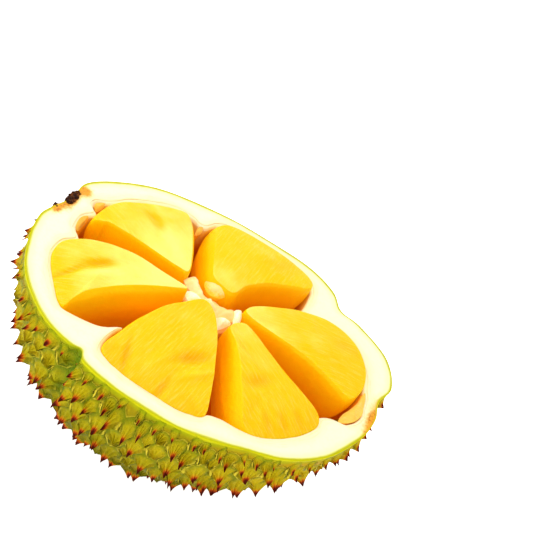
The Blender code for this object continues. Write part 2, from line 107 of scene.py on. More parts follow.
# Each bulb: its ripeness, then its upper edge, counterclockwise, as x, y, height over the cut face
# and flare of the side, then its dents and swellings as x, y, half length, half width, turn of the
# length in degrees and rise
BULBS = {
    "bulb_stalk_far": (
        0.05,
        (
            (-37, 19, 9, 3), (-50, 50, 8, 6), (-62, 71, 7, 6), (-72, 77, 6, 4), (-90, 65, 6, 8),
            (-104, 54, 5, 7), (-116, 41, 5, 4), (-122, 25, 5, 2), (-123, 6, 5, 2), (-116, 7, 7, 2),
            (-107, 11, 8, 2), (-73, 13, 9, 2), (-46, 14, 9, 2),
        ),
        ((-85, 43, 11, 5, 150, -2.2), (-60, 30, 18, 6, 150, 1.0)),
    ),
    "bulb_far": (
        0.55,
        (
            (3, 30, 7, 3), (8, 45, 8, 3), (19, 60, 9, 3), (36, 76, 9, 3), (50, 87, 8, 2),
            (54, 98, 6, 1), (45, 106, 5, 1), (25, 109, 5, 1), (-4, 107, 5, 1), (-26, 103, 5, 1),
            (-37, 97, 5, 1.5), (-40, 85, 6, 5), (-34, 65, 8, 8), (-26, 47, 8, 8), (-19, 32, 8, 7),
            (-9, 28, 8, 5),
        ),
        ((1, 83, 20, 9, 49, 1.2), (24, 92, 16, 8, 49, -0.8)),
    ),
    "bulb_tip_far": (
        0.4,
        (
            (21, 20, 7, 2), (33, 17, 8, 3), (54, 17, 9, 3), (76, 17, 9, 3), (99, 15, 8, 3),
            (118, 12, 6, 3), (129, 12, 4, 2), (134, 22, 3, 1), (135, 35, 3, 1), (131.5, 49, 3, 1),
            (125, 59, 4, 1), (114, 68, 5, 1), (98, 74, 5, 1), (79, 72, 6, 1), (58, 60, 8, 2),
            (41, 46, 9, 2), (28, 34, 9, 2), (21, 26, 8, 2),
        ),
        ((104, 57, 15, 7, 20, -1.2), (84, 38, 22, 8, 25, 0.8)),
    ),
    "bulb_tip_near": (
        0.55,
        (
            (17, -5, 7, 2), (28, -18, 9, 5), (41, -36, 9, 8), (53, -56, 8, 9), (61, -69, 5, 8),
            (67, -77, 1, 5), (79, -80, -1, 0.5), (93, -70.5, -1, 0), (105.5, -57, -1, 0),
            (114, -43, -1, 0), (118, -31, 0, 0.5), (114, -23, 2, 1), (104, -20, 5, 2),
            (90, -17, 7, 3), (78, -14, 8, 3), (54, -5, 9, 3), (36, 3, 9, 3), (24, 6, 8, 2),
        ),
        (
            (60, -38, 13, 6, 49, -2.8), (83, -62, 10, 3.2, 140, -1.1), (94, -52, 10, 3.2, 145, -1.1),
            (102, -40, 10, 3, 150, -1.0), (74, -50, 10, 4, 140, 0.8),
        ),
    ),
    "bulb_near": (
        0.68,
        (
            (-13, 1, 8, 2), (-24, -14, 8, 3), (-34, -32, 9, 3), (-43, -59, 8, 3), (-48, -80, 6, 2),
            (-52, -94, 3, 0.5), (-50, -101, 0, 0), (-39, -105.5, -1, 0), (-20, -107, -1, 0),
            (2, -106, -1, 0), (23, -103, -1, 0), (36, -97, -1, 0), (40, -91, 1, 1), (36, -79, 4, 2),
            (29, -62, 7, 2), (21, -42, 8, 2), (11, -21, 9, 2), (-1, -3, 8, 2),
        ),
        (
            (9, -58, 16, 6, 49, -5.0), (18, -71, 15, 3.2, 49, 2.6), (-33, -93, 13, 3, 110, -2.6),
            (3, -99, 12, 3, 90, -2.4), (-12, -80, 14, 7, 80, 1.6),
        ),
    ),
    "bulb_stalk_near": (
        -0.1,
        (
            (-30, 1, 8, 2), (-51, -1, 8, 3), (-74, -2, 8, 3), (-95, -8, 7, 3), (-112, -17, 6, 2),
            (-122, -26, 5, 1), (-128, -35, 4, 1), (-129, -44, 3, 0.5), (-126, -54, 1, 0.5),
            (-118.5, -65, 0, 0.5), (-107.5, -77.5, 0, 0.5), (-100, -85, 0, 0.5), (-94, -87, 1, 1),
            (-92, -77, 4, 4), (-88, -66, 7, 7), (-79, -52, 8, 8), (-66, -36, 9, 8), (-50, -19, 9, 8),
            (-35, -5, 8, 5),
        ),
        ((-94, -34, 13, 4, 49, -3.4), (-109, -59, 16, 2.5, 60, -1.8), (-88, -43, 14, 3.5, 49, 1.4)),
    ),
}

# Rings over a bulb's top, as parts of its edge's reach, then rings under its girth, as a part of
# the lean to the core, of the girth's reach and of the depth
TOP_RINGS = (0.06, 0.3, 0.55, 0.75, 0.89, 0.96)
LOWER_RINGS = ((0.1, 0.98, 0.32), (0.2, 0.93, 0.5), (0.7, 0.7, 0.83), (1, 0.4, 0.98))

# Small unfilled lobes in the corners of the hollow. Each: its upper edge, as x, y and height over the
# cut face, then its swellings like the bulbs'
LOBES = {
    "lobe_stalk": (
        (
            (-129.5, -9.5, -1), (-132, -2, 0), (-131.5, 5, 0), (-128.5, 11, -2), (-127.5, 6, -5),
            (-127.5, -1, -6), (-127, -8, -4),
        ),
        ((-130.5, -3, 3, 2, 90, 0.6),),
    ),
    "lobe_stalk_far": (
        ((-131, 23.5, 0), (-131, 28.5, 0), (-126.5, 33, 0), (-125.5, 29, -3), (-127.5, 22.5, -4)),
        (),
    ),
    "lobe_far": (((-54.5, 79, -1), (-51.5, 83, -1), (-50, 78, -4), (-53, 74, -5)), ()),
    "lobe_tip": (
        (
            (139, 32, 0), (141.5, 26, 0), (143.5, 17, 0), (145, 9, 0), (143.5, 1, -1),
            (140.5, -5, -1), (136, -8.5, -3), (131.5, -8.5, -5), (132, 1, -6), (135, 9, -4),
            (137.5, 18, -2), (138, 27, -1),
        ),
        ((140, 18, 6, 2, 90, 0.9), (139, 3, 4, 2.5, 70, 0.8)),
    ),
}

# Colours of the lobes: their pale, golden and amber flesh, their sides and their deep sides, the last
# two partly painted shade
LOBE_COLORS = ("FBDC90", "F9C450", "F6B034", "F4AA1C", "E08C0C")

# Dry scars at the rim, as x, y, half length, half width and turn
DRY_SPOTS = ((156, 8, 26, 7, 96), (-148, 13, 15, 6, 92), (-144, 31, 6, 6, 80), (-152, -4, 7, 4, 100))

# Chunks of the dry stalk stub, as x, y, half sizes and height over the cut face
STUB_CHUNKS = ((-148.5, 16, (3.6, 9, 7), 0.8), (-153.4, -3, (2.2, 3.8, 3.0), -0.9))

# Half sizes of the lump under the core's folds
CORE_LUMP = (24, 19, 8.5)

# Folds of the core between the bulbs' inner ends: how peach each is, up to 1, or 2 for the one that
# is golden, then its height over the cut face and its outline in plan
CORE_FOLDS = (
    (1.0, -3, ((-36, 17), (-31, 24), (-22, 22), (-12, 20), (-4, 22), (6, 20), (14, 24), (20, 20),
     (20, 10), (16, 0), (10, -8), (4, -2), (-6, 4), (-14, 4), (-22, -1), (-28, 4), (-34, 12))),
    (1.0, 2.5, ((2, 6), (4, 13), (10, 19.5), (14.5, 18.5), (16, 9), (11, 6), (4, 2))),
    (0.0, 3.5, ((12, 17), (13.5, 22.5), (17, 24), (20, 18), (21, 11), (17.5, 7), (14, 13))),
    (0.1, 2.5, ((4, 2), (10, 6), (15.5, 6), (15, 1), (11, -7), (8.5, -8), (5, -2))),
    (0.8, 3.2, ((-36, 15), (-33, 22), (-29.5, 26), (-24, 20), (-17, 15), (-12, 8), (-18, 6.5),
     (-27, 9))),
    (0.0, 2.6, ((-28, 7), (-21, 9), (-14, 7.5), (-16, 2), (-22, -1.5), (-26.5, 1))),
    (0.7, 2.0, ((-14, 9), (-11, 15), (-7, 13), (0, 9), (-4, 6), (-11, 7))),
    (2.0, 4.6, ((-21, 25), (-19, 33), (-13, 37), (-5, 36), (0, 31), (-2, 23), (-8, 18), (-16, 19))),
)


# Shapes


def catmull_rom(a, b, c, d, per_span):
    """Points from b up to c on the Catmull-Rom cubic through four points in a row, for each span."""
    t = np.arange(per_span).reshape(1, -1, *[1] * (b.ndim - 1)) / per_span
    a, b, c, d = (point[:, None] for point in (a, b, c, d))
    curve = 0.5 * (
        2 * b + (c - a) * t + (2 * a - 5 * b + 4 * c - d) * t**2 + (3 * b - a - 3 * c + d) * t**3
    )
    return curve.reshape(-1, *curve.shape[2:])


def closed_curve(points, per_span):
    """A smooth closed curve through the points, sampled per_span to a span."""
    given = np.array(points, float)
    return catmull_rom(*(np.roll(given, shift, axis=0) for shift in (1, 0, -1, -2)), per_span)


def open_curve(rows, per_span):
    """A smooth curve through rows of points, each a whole ring, from the first row to the last."""
    ends = np.concatenate([rows[:1], rows, rows[-1:]])
    spans = (ends[i : len(ends) - 3 + i] for i in range(4))
    return np.concatenate([catmull_rom(*spans, per_span), rows[-1:]])


def radius_at(points, angles):
    """Distance from the middle to a closed outline at each angle, in metres."""
    curve = closed_curve(points, 24) * MM
    angle = np.arctan2(curve[:, 1], curve[:, 0])
    order = np.argsort(angle)
    reach = np.hypot(curve[order, 0], curve[order, 1])
    return np.interp(angles, angle[order], reach, period=2 * math.pi)


def unit(vectors):
    """The vectors, each brought to length 1."""
    return vectors / np.maximum(np.linalg.norm(vectors, axis=-1, keepdims=True), 1e-6)


def level_directions(angles):
    """Level vectors of length 1 at these angles."""
    return np.stack([np.cos(angles), np.sin(angles), 0 * angles], 1)


def smooth_step(value, low, high):
    """0 below low and 1 above high, with a soft S between them."""
    part = np.clip((value - low) / (high - low), 0, 1)
    return part * part * (3 - 2 * part)


def lumps(points, size, seed):
    """Value noise from -1 to 1: random numbers on a cubic lattice, blended between its corners."""
    table = np.random.default_rng(seed).uniform(-1, 1, 4096)
    place = points / size
    cell = np.floor(place).astype(np.int64)
    part = place - cell
    part = part * part * (3 - 2 * part)
    total = np.zeros(points.shape[:-1])
    for corner in np.ndindex(2, 2, 2):
        at = cell + np.array(corner)
        key = (at[..., 0] * 73856093 ^ at[..., 1] * 19349663 ^ at[..., 2] * 83492791) & 4095
        weight = np.prod(np.where(np.array(corner) == 1, part, 1 - part), axis=-1)
        total += table[key] * weight
    return total


def uneven(points, *layers):
    """Metres of unevenness, summed over layers of lumps, each a size, a height and a seed."""
    return sum(lumps(points, size * MM, seed) * height * MM for size, height, seed in layers)


def body_points(angles, reach):
    """The body's outside. Its section in each direction is a superellipse from the rim down, and
    reach runs from 0 under the middle to 1 at the rim."""
    drop = (1 - reach) * math.pi / 2
    tuck = -END_TUCK * np.cos(2 * angles) * np.sin(2 * drop)
    radii = radius_at(RIM, angles) * (np.cos(drop) ** (2 / SECTION_POWER) + tuck)
    height = CUT_HEIGHT - BODY_DEPTH * np.sin(drop) ** (2 / SECTION_POWER)
    return np.stack([radii * np.cos(angles), radii * np.sin(angles), height], -1)


def body_directions(angles, reach):
    """Outward and downhill directions of the body's outside, from small steps along it."""
    step = 1e-3
    along = body_points(angles + step, reach) - body_points(angles - step, reach)
    up = body_points(angles, np.minimum(reach + step, 1)) - body_points(angles, reach - step)
    return unit(np.cross(along, up) / step**2), unit(-up / step)


def flat_spot_reach():
    """Reach at which the body's outside meets the ground."""
    drop = math.asin((CUT_HEIGHT / BODY_DEPTH) ** (SECTION_POWER / 2))
    return 1 - drop * 2 / math.pi


def rim_fraction_angles(fractions):
    """Angles that lie at these fractions of the rim's length, so that spacing there is even."""
    angles = np.linspace(-math.pi, math.pi, 721)
    radii = radius_at(RIM, angles)
    rim = np.stack([radii * np.cos(angles), radii * np.sin(angles)], 1)
    run = np.concatenate([[0], np.cumsum(np.hypot(*np.diff(rim, axis=0).T))])
    return np.interp(np.mod(fractions, 1), run / run[-1], angles)


def spine_layout(count, scatter_size):
    """Angle and reach of each scale, the golden angle apart and each on an equal share of area,
    and whether it carries a thorn."""
    number = np.arange(count)
    scatter = np.random.default_rng(5).uniform(-1, 1, (2, count)) * scatter_size
    reach = np.arccos(1 - (number + 0.5) / count) * 2 / math.pi
    turns = number * GOLDEN_ANGLE / (2 * math.pi)
    angles = rim_fraction_angles(turns + scatter[0] / (2 * math.pi * np.maximum(reach, 0.05)))
    thorny = np.random.default_rng(9).uniform(0, 1, count) > BARE_SHARE
    return angles, reach * 0.985 + scatter[1] * 0.6, thorny


def ring_quads(rings):
    """Quads between rings of point numbers, each ring closed."""
    after = np.roll(rings, -1, axis=1)
    return np.stack([rings[:-1], after[:-1], after[1:], rings[1:]], -1).reshape(-1, 4).tolist()


def fan(pole, ring):
    """Triangles from one point to each two neighbours on a closed ring of point numbers."""
    return np.stack([np.full(len(ring), pole), ring, np.roll(ring, -1)], 1).tolist()


def unit_sphere(rows, columns):
    """Rings of a sphere of radius 1 from its top to its underside, without its poles."""
    polar = np.linspace(0, math.pi, rows)[1:-1, None]
    turn = np.linspace(0, 2 * math.pi, columns, endpoint=False)
    across = np.sin(polar)
    return np.stack([across * np.cos(turn), across * np.sin(turn), np.cos(polar) + 0 * turn], -1)


def closed_grid(rings, first_pole, last_pole):
    """Points and faces of rings of points closed by a pole at each end."""
    points = np.concatenate([rings.reshape(-1, 3), [first_pole, last_pole]])
    numbers = np.arange(len(points) - 2).reshape(rings.shape[:2])
    first = fan(len(points) - 2, numbers[0, ::-1])
    return points, ring_quads(numbers) + first + fan(len(points) - 1, numbers[-1])


# Pieces


def add_piece(
    name, points, faces, material, slot, replaced, attributes=None, layout=None, crisp_angle=None
):
    """One object from points in the fruit's plan, with named values a point and a flat layout."""
    mesh = bpy.data.meshes.new(name)
    mesh.from_pydata((points - MIDDLE).tolist(), [], faces)
    for label, values in (attributes or {}).items():
        mesh.attributes.new(label, "FLOAT", "POINT").data.foreach_set("value", values)
    if layout is not None:
        corner = np.empty(len(mesh.loops), np.int32)
        mesh.loops.foreach_get("vertex_index", corner)
        mesh.uv_layers.new(name="Layout").data.foreach_set("uv", layout[corner].ravel())
    if signed_volume(mesh) < 0:
        mesh.flip_normals()
    mesh.shade_smooth()
    if crisp_angle is not None:
        mesh.set_sharp_from_angle(angle=crisp_angle)
    mesh.materials.append(material)
    piece = bpy.data.objects.new(name, mesh)
    bpy.context.scene.collection.objects.link(piece)
    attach(piece, "root")
    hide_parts(*replaced)


def signed_volume(mesh):
    """Volume inside a closed mesh, negative where its faces point inwards."""
    mesh.calc_loop_triangles()
    corner = np.empty(len(mesh.loop_triangles) * 3, np.int32)
    mesh.loop_triangles.foreach_get("vertices", corner)
    place = np.empty(len(mesh.vertices) * 3)
    mesh.vertices.foreach_get("co", place)
    a, b, c = place.reshape(-1, 3)[corner.reshape(-1, 3)].transpose(1, 0, 2)
    return float(np.einsum("ij,ij->", a, np.cross(b, c))) / 6


def scale_sectors(settings):
    """The skin's scales, as triangles from each scale's apex to two corners in the flat plan.

    Apexes come from the spine layout, corners are the middles of the triangles between apexes,
    and a border scale also gets the middle of its border edge as a corner.
    """
    flat = flat_spot_reach()
    angles, reach, thorny = spine_layout(settings.spine_count, settings.scatter)
    kept = (reach > flat + SPINE_LIMITS[0]) & (reach < SPINE_LIMITS[1])
    ring = np.linspace(-math.pi, math.pi, RIM_COLUMNS, endpoint=False)
    foot = ring[::4]
    small = np.arange(settings.rim_spines)
    scatter = np.random.default_rng(7).uniform(-1, 1, (2, len(small)))
    small_turn = rim_fraction_angles((small + scatter[0] * 0.25) / len(small))
    small_reach = RIM_SPINE_REACH + scatter[1] * 0.004
    turn = np.concatenate([ring, foot, angles[kept], small_turn])
    apex_reach = [np.ones(len(ring)), np.full(len(foot), flat), reach[kept], small_reach]
    apex_reach = np.concatenate(apex_reach)
    plan = np.stack([apex_reach * np.cos(turn), apex_reach * np.sin(turn)], 1)
    borders = [(i, (i + 1) % len(ring)) for i in range(len(ring))]
    borders += [(len(ring) + i, len(ring) + (i + 1) % len(foot)) for i in range(len(foot))]
    triangles = np.array(delaunay_2d_cdt(plan.tolist(), borders, [], 0, 1e-7)[2])
    borderline = len(ring) + len(foot)
    hole = np.all((triangles >= len(ring)) & (triangles < borderline), axis=1)
    triangles = triangles[~hole]
    middles = plan[triangles].mean(axis=1)
    start = triangles.T.reshape(-1)
    end = np.roll(triangles, -1, axis=1).T.reshape(-1)
    left = np.tile(np.arange(len(triangles)), 3)
    key = np.minimum(start, end) * len(plan) + np.maximum(start, end)
    order = np.argsort(key, kind="stable")
    paired = key[order][1:] == key[order][:-1]
    one = order[:-1][paired]
    two = order[1:][paired]
    single = np.ones(len(order), bool)
    single[one] = False
    single[two] = False
    edge = np.flatnonzero(single)
    half_way = (plan[start[edge]] + plan[end[edge]]) / 2
    apex = np.concatenate([start[one], end[one], start[edge], end[edge]])
    first = [middles[left[two]], middles[left[one]], half_way, middles[left[edge]]]
    second = [middles[left[one]], middles[left[two]], middles[left[edge]], half_way]
    border_side = np.repeat([0, 1, 2], [len(one) * 2, len(edge), len(edge)])
    is_spine = np.arange(len(plan)) >= borderline
    thorny = np.concatenate([np.zeros(borderline, bool), thorny[kept], np.ones(len(small), bool)])
    sagged = apex_reach - np.where(is_spine, settings.sag, 0)
    tips = plan * (sagged / apex_reach)[:, None]
    corners = (np.concatenate(first), np.concatenate(second))
    return tips, apex_reach, (is_spine, thorny), apex, corners, border_side


def skin_surface(settings):
    """Points, faces and values of the spiny skin, before its scales are raised.

    Each sector of a scale is a grid: run goes from 0 at the apex to 1 at the scale's edge, and
    ray from 0 halfway between two corners to 1 on the line from the apex to a corner.
    """
    tips, apex_reach, (is_spine, thorny), apex, corners, border_side = scale_sectors(settings)
    run = np.array([0, 0.08, 0.18, 0.32, 0.52, 0.76, 1.0])
    side = np.array([0, 0.5, 1.0])
    far = corners[0][:, None, :] * (1 - side[:, None]) + corners[1][:, None, :] * side[:, None]
    owner = apex[:, None, None]
    middle = tips[owner]
    plan = middle + run[None, :, None, None] * (far[:, None] - middle)
    shape = plan.shape[:3]
    on_border = np.zeros(shape, bool)
    on_border[border_side == 1, :, 0] = True
    on_border[border_side == 2, :, -1] = True
    size = np.linalg.norm(plan, axis=-1)
    plan = np.where(on_border[..., None], plan * (apex_reach[owner] / size)[..., None], plan)
    toward = plan - middle
    length = np.linalg.norm(toward, axis=-1)
    values = {
        "run": run[:, None],
        "lower": np.sum(toward * -unit(middle), -1) / np.maximum(length, 1e-9),
        "ray": np.abs(side * 2 - 1),
        "spine": is_spine[owner],
        "thorn": thorny[owner],
        "scale": owner,
    }
    flat_plan = plan.reshape(-1, 2)
    found = np.unique(np.round(flat_plan, 6), axis=0, return_index=True, return_inverse=True)
    kept = found[1]
    place = found[2].reshape(shape)
    values = {
        label: np.broadcast_to(value, shape).reshape(-1)[kept].astype(float)
        for label, value in values.items()
    }
    first = np.stack([place[:, 0, 0], place[:, 1, 1], place[:, 1, 0]], -1)
    second = np.stack([place[:, 0, 0], place[:, 1, 2], place[:, 1, 1]], -1)
    near = place[:, 1:-1]
    out = place[:, 2:]
    quads = np.stack([near[..., :-1], near[..., 1:], out[..., 1:], out[..., :-1]], -1)
    faces = first.tolist() + second.tolist() + quads.reshape(-1, 4).tolist()
    return flat_plan[kept], values, on_border.reshape(-1)[kept], faces


def dryness(points):
    """1 in the dry scars by the stalk and at the blossom tip, and 0 elsewhere."""
    near_top = smooth_step(points[..., 2], CUT_HEIGHT - 14 * MM, CUT_HEIGHT - 2 * MM)
    return np.clip(sum(bell(points, spot) for spot in DRY_SPOTS), 0, 1) * near_top


def rim_crease(angles, reach):
    """1 in the smooth crease that runs down the skin from the dent in the rim, 0 away from it."""
    away = np.mod(angles - CREASE_ANGLE + math.pi, 2 * math.pi) - math.pi
    width = np.where(away < 0, *CREASE_HALF_WIDTHS)
    return np.exp(-((away / width) ** 2)) * smooth_step(reach, 0.62, 0.9)


def raise_scales(flat_plan, values, settings):
    """Places of the skin's points: the body, then for each scale a hollow-sided cone with ridges
    to its corners, a thorn at its apex that leans downhill, and noise."""
    reach = np.minimum(np.linalg.norm(flat_plan, axis=1), 1)
    angles = np.arctan2(flat_plan[:, 1], flat_plan[:, 0])
    run = values["run"]
    number = values["scale"].astype(int)
    random = np.random.default_rng(11).uniform(0, 1, (4, number.max() + 1))[:, number]
    crease = rim_crease(angles, reach)
    fade = smooth_step(1 - reach, -0.012, 0.075) * (1 - 0.85 * crease)
    tall = settings.spine_height * (0.72 + 0.45 * random[0]) * fade
    tall *= BARE_HEIGHT + (1 - BARE_HEIGHT) * values["thorn"]
    tall = np.maximum(tall, 1.6 * MM * values["thorn"])
    cone = 0.5 * (1 - run) ** 1.3 + 0.5 * (1 - run) ** 4
    facet = settings.facet * (1 - values["ray"] ** 2) * np.sin(math.pi * run**0.8)
    facet *= fade * (0.5 + random[1])
    lip = settings.scale_lift * smooth_step(run, 1.0, 0.8) * smooth_step(values["lower"], -0.2, 0.5)
    sunk = (CREASE_DEPTH[0] + CREASE_DEPTH[1] * smooth_step(1 - reach, 0.0, 0.06)) * crease
    rise = (tall * cone - facet + lip * fade) * values["spine"] - sunk
    outward, downhill = body_directions(angles, reach)
    around = np.cross(outward, downhill)
    points = body_points(angles, reach)
    calm = smooth_step(1 - reach, 0.004, 0.05)
    rough = uneven(points, (11, 0.55, 3), (4, 0.22, 13))
    points += outward * (rise + rough * calm)[:, None]
    bend = (tall * (1 - run) ** 2 * values["spine"])[:, None]
    points += bend * downhill * (0.22 + 0.3 * random[2])[:, None]
    points += bend * around * (random[3] - 0.5)[:, None] * 0.5
    return points, angles, reach, crease


def build_skin(settings):
    """The green skin: the scaled outside, the cut edge at the rim and a plain inner side."""
    flat_plan, values, on_border, faces = skin_surface(settings)
    points, angles, reach, crease = raise_scales(flat_plan, values, settings)
    rim = np.flatnonzero(on_border & (reach > 0.5))
    rim = rim[np.argsort(angles[rim])]
    foot = np.flatnonzero(on_border & (reach < 0.5))
    foot = foot[np.argsort(angles[foot])]
    points[:, 2] = np.maximum(points[:, 2], 0)
    points[foot, 2] = 0
    turn = angles[rim]
    rows = [shrunk_body(turn, 1.0, settings.thickness)]
    rows += [shrunk_body(turn, part, 3 * settings.thickness) for part in (0.97, 0.7, 0.35)]
    number = values.pop("scale").astype(int)
    values["tone"] = np.random.default_rng(21).uniform(0, 1, number.max() + 1)[number]
    values["crease"] = crease
    values["dry"] = dryness(points)
    values["below"] = (CUT_HEIGHT - points[:, 2]) / MM
    inner = len(points) + np.arange(len(rows) * len(rim)).reshape(len(rows), len(rim))
    rings = np.concatenate([[rim], inner])[:, ::-1]
    extra = np.concatenate([*rows, [[0, 0, 6 * MM], [0, 0, 0]]])
    points = np.concatenate([points, extra])
    faces += ring_quads(rings) + fan(len(points) - 2, rings[-1]) + fan(len(points) - 1, foot)
    plain = {"run": 1, "tone": 0.5}
    attributes = {
        label: np.append(value, np.full(len(extra), plain.get(label, 0)))
        for label, value in values.items()
    }
    return points, faces, attributes


def shrunk_body(angles, reach, inset):
    """A ring of the body's outside, moved inwards by inset."""
    level = np.full(len(angles), reach)
    outward = body_directions(angles, level)[0] if reach < 1 else level_directions(angles)
    return body_points(angles, level) - outward * inset


def build_flesh(settings, skin):
    """The pale flesh: the cut face, the rounded edge of the hollow, its wall and its floor.

    Each column of points keeps one angle. It runs from under the middle up inside the skin to the
    rim, in over the cut face, and down the hollow to the middle of its floor.
    """
    columns = settings.columns
    angles = np.linspace(-math.pi, math.pi, columns, endpoint=False)
    hidden = np.array([shrunk_body(angles, part, 2.2 * skin.thickness) for part in BURIED_RINGS])
    heading = level_directions(angles)
    outer = radius_at(RIM, angles) - skin.thickness
    inner = radius_at(HOLLOW, angles) + uneven(heading, (50, 0.35, 8))
    lip = settings.lip
    face = np.linspace(0, 1, 46)
    turn = np.linspace(0, math.pi / 2, 9)[1:]
    level = np.ones(columns)
    profile = [(outer + 0.25 * MM, -0.8 * MM * level)]
    profile += [(outer + (inner + lip - outer) * part, 0 * level) for part in face]
    profile += [(inner + lip * (1 - math.sin(a)), lip * (math.cos(a) - 1) * level) for a in turn]
    wall = np.array([[[scale, inset * MM, -depth * MM]] for scale, inset, depth in HOLLOW_WALL])
    for scale, inset, drop in open_curve(wall, 6)[:, 0]:
        profile.append((inner * scale - inset, (drop - lip * 0.4) * level))
    reach = np.array([radius for radius, _ in profile])
    drops = np.array([drop for _, drop in profile])
    rings = reach[..., None] * heading
    rings[..., 2] = CUT_HEIGHT + drops
    start = 1
    top = slice(start, start + len(face))
    calm = np.sin(np.linspace(0, math.pi, len(face)))[:, None]
    rings[top, :, 2] += calm * uneven(rings[top], (26, 0.7, 4), (7, 0.16, 6))
    deep = slice(start + len(face) + 4, len(rings))
    rings[deep] += heading * uneven(rings[deep], (14, 0.5, 15))[..., None]
    rings = np.concatenate([hidden, rings])
    poles = ((0, 0, 10 * MM), (0, 0, CUT_HEIGHT - HOLLOW_DEPTH))
    points, faces = closed_grid(rings, *poles)
    radius = np.hypot(points[:, 0], points[:, 1])
    angle = np.arctan2(points[:, 1], points[:, 0])
    attributes = {
        "from_skin": (radius_at(RIM, angle) - radius) / MM,
        "from_hollow": (radius - radius_at(HOLLOW, angle)) / MM,
        "around": angle,
        "dry": dryness(points),
        "below": (CUT_HEIGHT - points[:, 2]) / MM,
    }
    return points, faces, attributes


def bell(points, mark):
    """1 at the middle of an elliptical mark and 0 well away from it, in plan."""
    x, y, half_length, half_width, turn = mark[:5]
    east = points[..., 0] / MM - x
    north = points[..., 1] / MM - y
    angle = math.radians(turn)
    along = (east * math.cos(angle) + north * math.sin(angle)) / half_length
    across = (north * math.cos(angle) - east * math.sin(angle)) / half_width
    return np.exp(-(along**2) - across**2)


def soft_wedge_rings(corners, depth, crown, draw_in, columns_per_span):
    """Rings of a soft wedge, from its top's middle to its underside, each with a fourth value
    that is 1 on the top and 0 on the side, and the height of its upper edge.

    The rings are copies of the upper edge: shrunk over the crowned top, pushed out by the flare
    at the girth, then shrunk to the rounded underside.
    """
    curve = closed_curve(corners, columns_per_span) * MM
    edge, lift, flare = curve[:, :2], curve[:, 2], curve[:, 3]
    middle = (closed_curve(corners, 3)[:, :2] * MM).mean(axis=0)
    mean_lift = lift.mean()
    along = np.roll(edge, -1, axis=0) - np.roll(edge, 1, axis=0)
    outward = np.stack([along[:, 1], -along[:, 0]], 1) / np.hypot(*along.T)[:, None]
    side = outward * flare[:, None]
    girth = edge + side
    shoulder = lift - 0.07 * depth - 0.3 * flare
    waist = np.minimum(-0.16 * depth, shoulder - 0.04 * depth)
    level = np.ones(len(edge))
    rows = []
    for part in TOP_RINGS:
        height = mean_lift + (lift - mean_lift) * part**1.5 + crown * (1 - part**2)
        rows.append((middle + (edge - middle) * part, height, 1))
    rows += [
        (edge - outward * 0.15 * MM, lift - 0.1 * MM, 0.9),
        (edge + side * 0.12 + outward * 0.1 * MM, lift - 0.02 * depth, 0.1),
        (edge + side * 0.62, shoulder, 0),
        (girth, waist, 0),
    ]
    for lean, part, down in LOWER_RINGS:
        plan = middle * (1 - lean * draw_in) + (girth - middle) * part
        rows.append((plan, -down * depth * level, 0))
    rings = [np.column_stack([plan, CUT_HEIGHT + height, level * top]) for plan, height, top in rows]
    return np.array(rings), lift, middle


def build_bulb(shape, depth, crown, draw_in, columns_per_span, rows_per_span):
    """A soft wedge with a closed, smooth surface.

    Dents and swellings move its top down or up by a bell curve of the distance from their middle.
    The layout runs along and across the bulb from its inner end.
    """
    ripeness, corners, marks = shape
    rings, lift, middle = soft_wedge_rings(corners, depth, crown, draw_in, columns_per_span)
    rings = open_curve(rings, rows_per_span)
    top = np.clip(rings[..., 3], 0, 1)
    rings = rings[..., :3].copy()
    dent = np.zeros(top.shape)
    pale = np.zeros(top.shape)
    # the dent values carry painted shade into the dents, and the pale values a painted highlight onto
    # the swellings
    for mark in marks:
        rise = mark[-1]
        shape_here = bell(rings, mark) * top
        rings[..., 2] += shape_here * rise * MM
        if rise < 0:
            dent += shape_here * min(1, -rise / 2)
        else:
            pale += shape_here * min(1, rise)
    rings[..., 2] += uneven(rings, (17, 0.5, 31), (7, 0.14, 33)) * top
    out = unit(rings[..., :2] - middle)
    rings[..., :2] += out * (uneven(rings, (15, 0.4, 37)) * (1 - top))[..., None]
    ends = (
        (*rings[0, :, :2].mean(axis=0), rings[0, :, 2].mean() + 0.02 * MM),
        (*(middle * (1 - draw_in)), CUT_HEIGHT - depth),
    )
    points, faces = closed_grid(rings, *ends)
    heading = middle / np.linalg.norm(middle)
    across = np.array([-heading[1], heading[0]])
    layout = np.stack([points[:, :2] @ heading, points[:, :2] @ across], 1)
    crest = np.append(np.broadcast_to(lift, rings.shape[:2]).reshape(-1), [lift.mean(), 0])
    outer = smooth_step(layout[:, 0] / MM, 25, 125)
    low = smooth_step((CUT_HEIGHT - points[:, 2]) / MM, -7.5, 1)
    attributes = {
        "top": np.append(top.reshape(-1), [1, 0]),
        "ripe": ripeness + 0.6 * outer + 0.35 * low,
        "dent": np.append(dent.reshape(-1), [0, 0]),
        "pale": np.append(pale.reshape(-1), [0, 0]),
        "sunk": (CUT_HEIGHT + crest - points[:, 2]) / MM,
    }
    return points, faces, attributes, layout


def join(parts):
    """Several sets of points, faces and one value a point as one set."""
    points, faces, values = zip(*parts)
    firsts = np.cumsum([0, *map(len, points)]).tolist()
    faces = [[first + i for i in face] for first, part in zip(firsts, faces) for face in part]
    return np.concatenate(points), faces, np.concatenate(values)


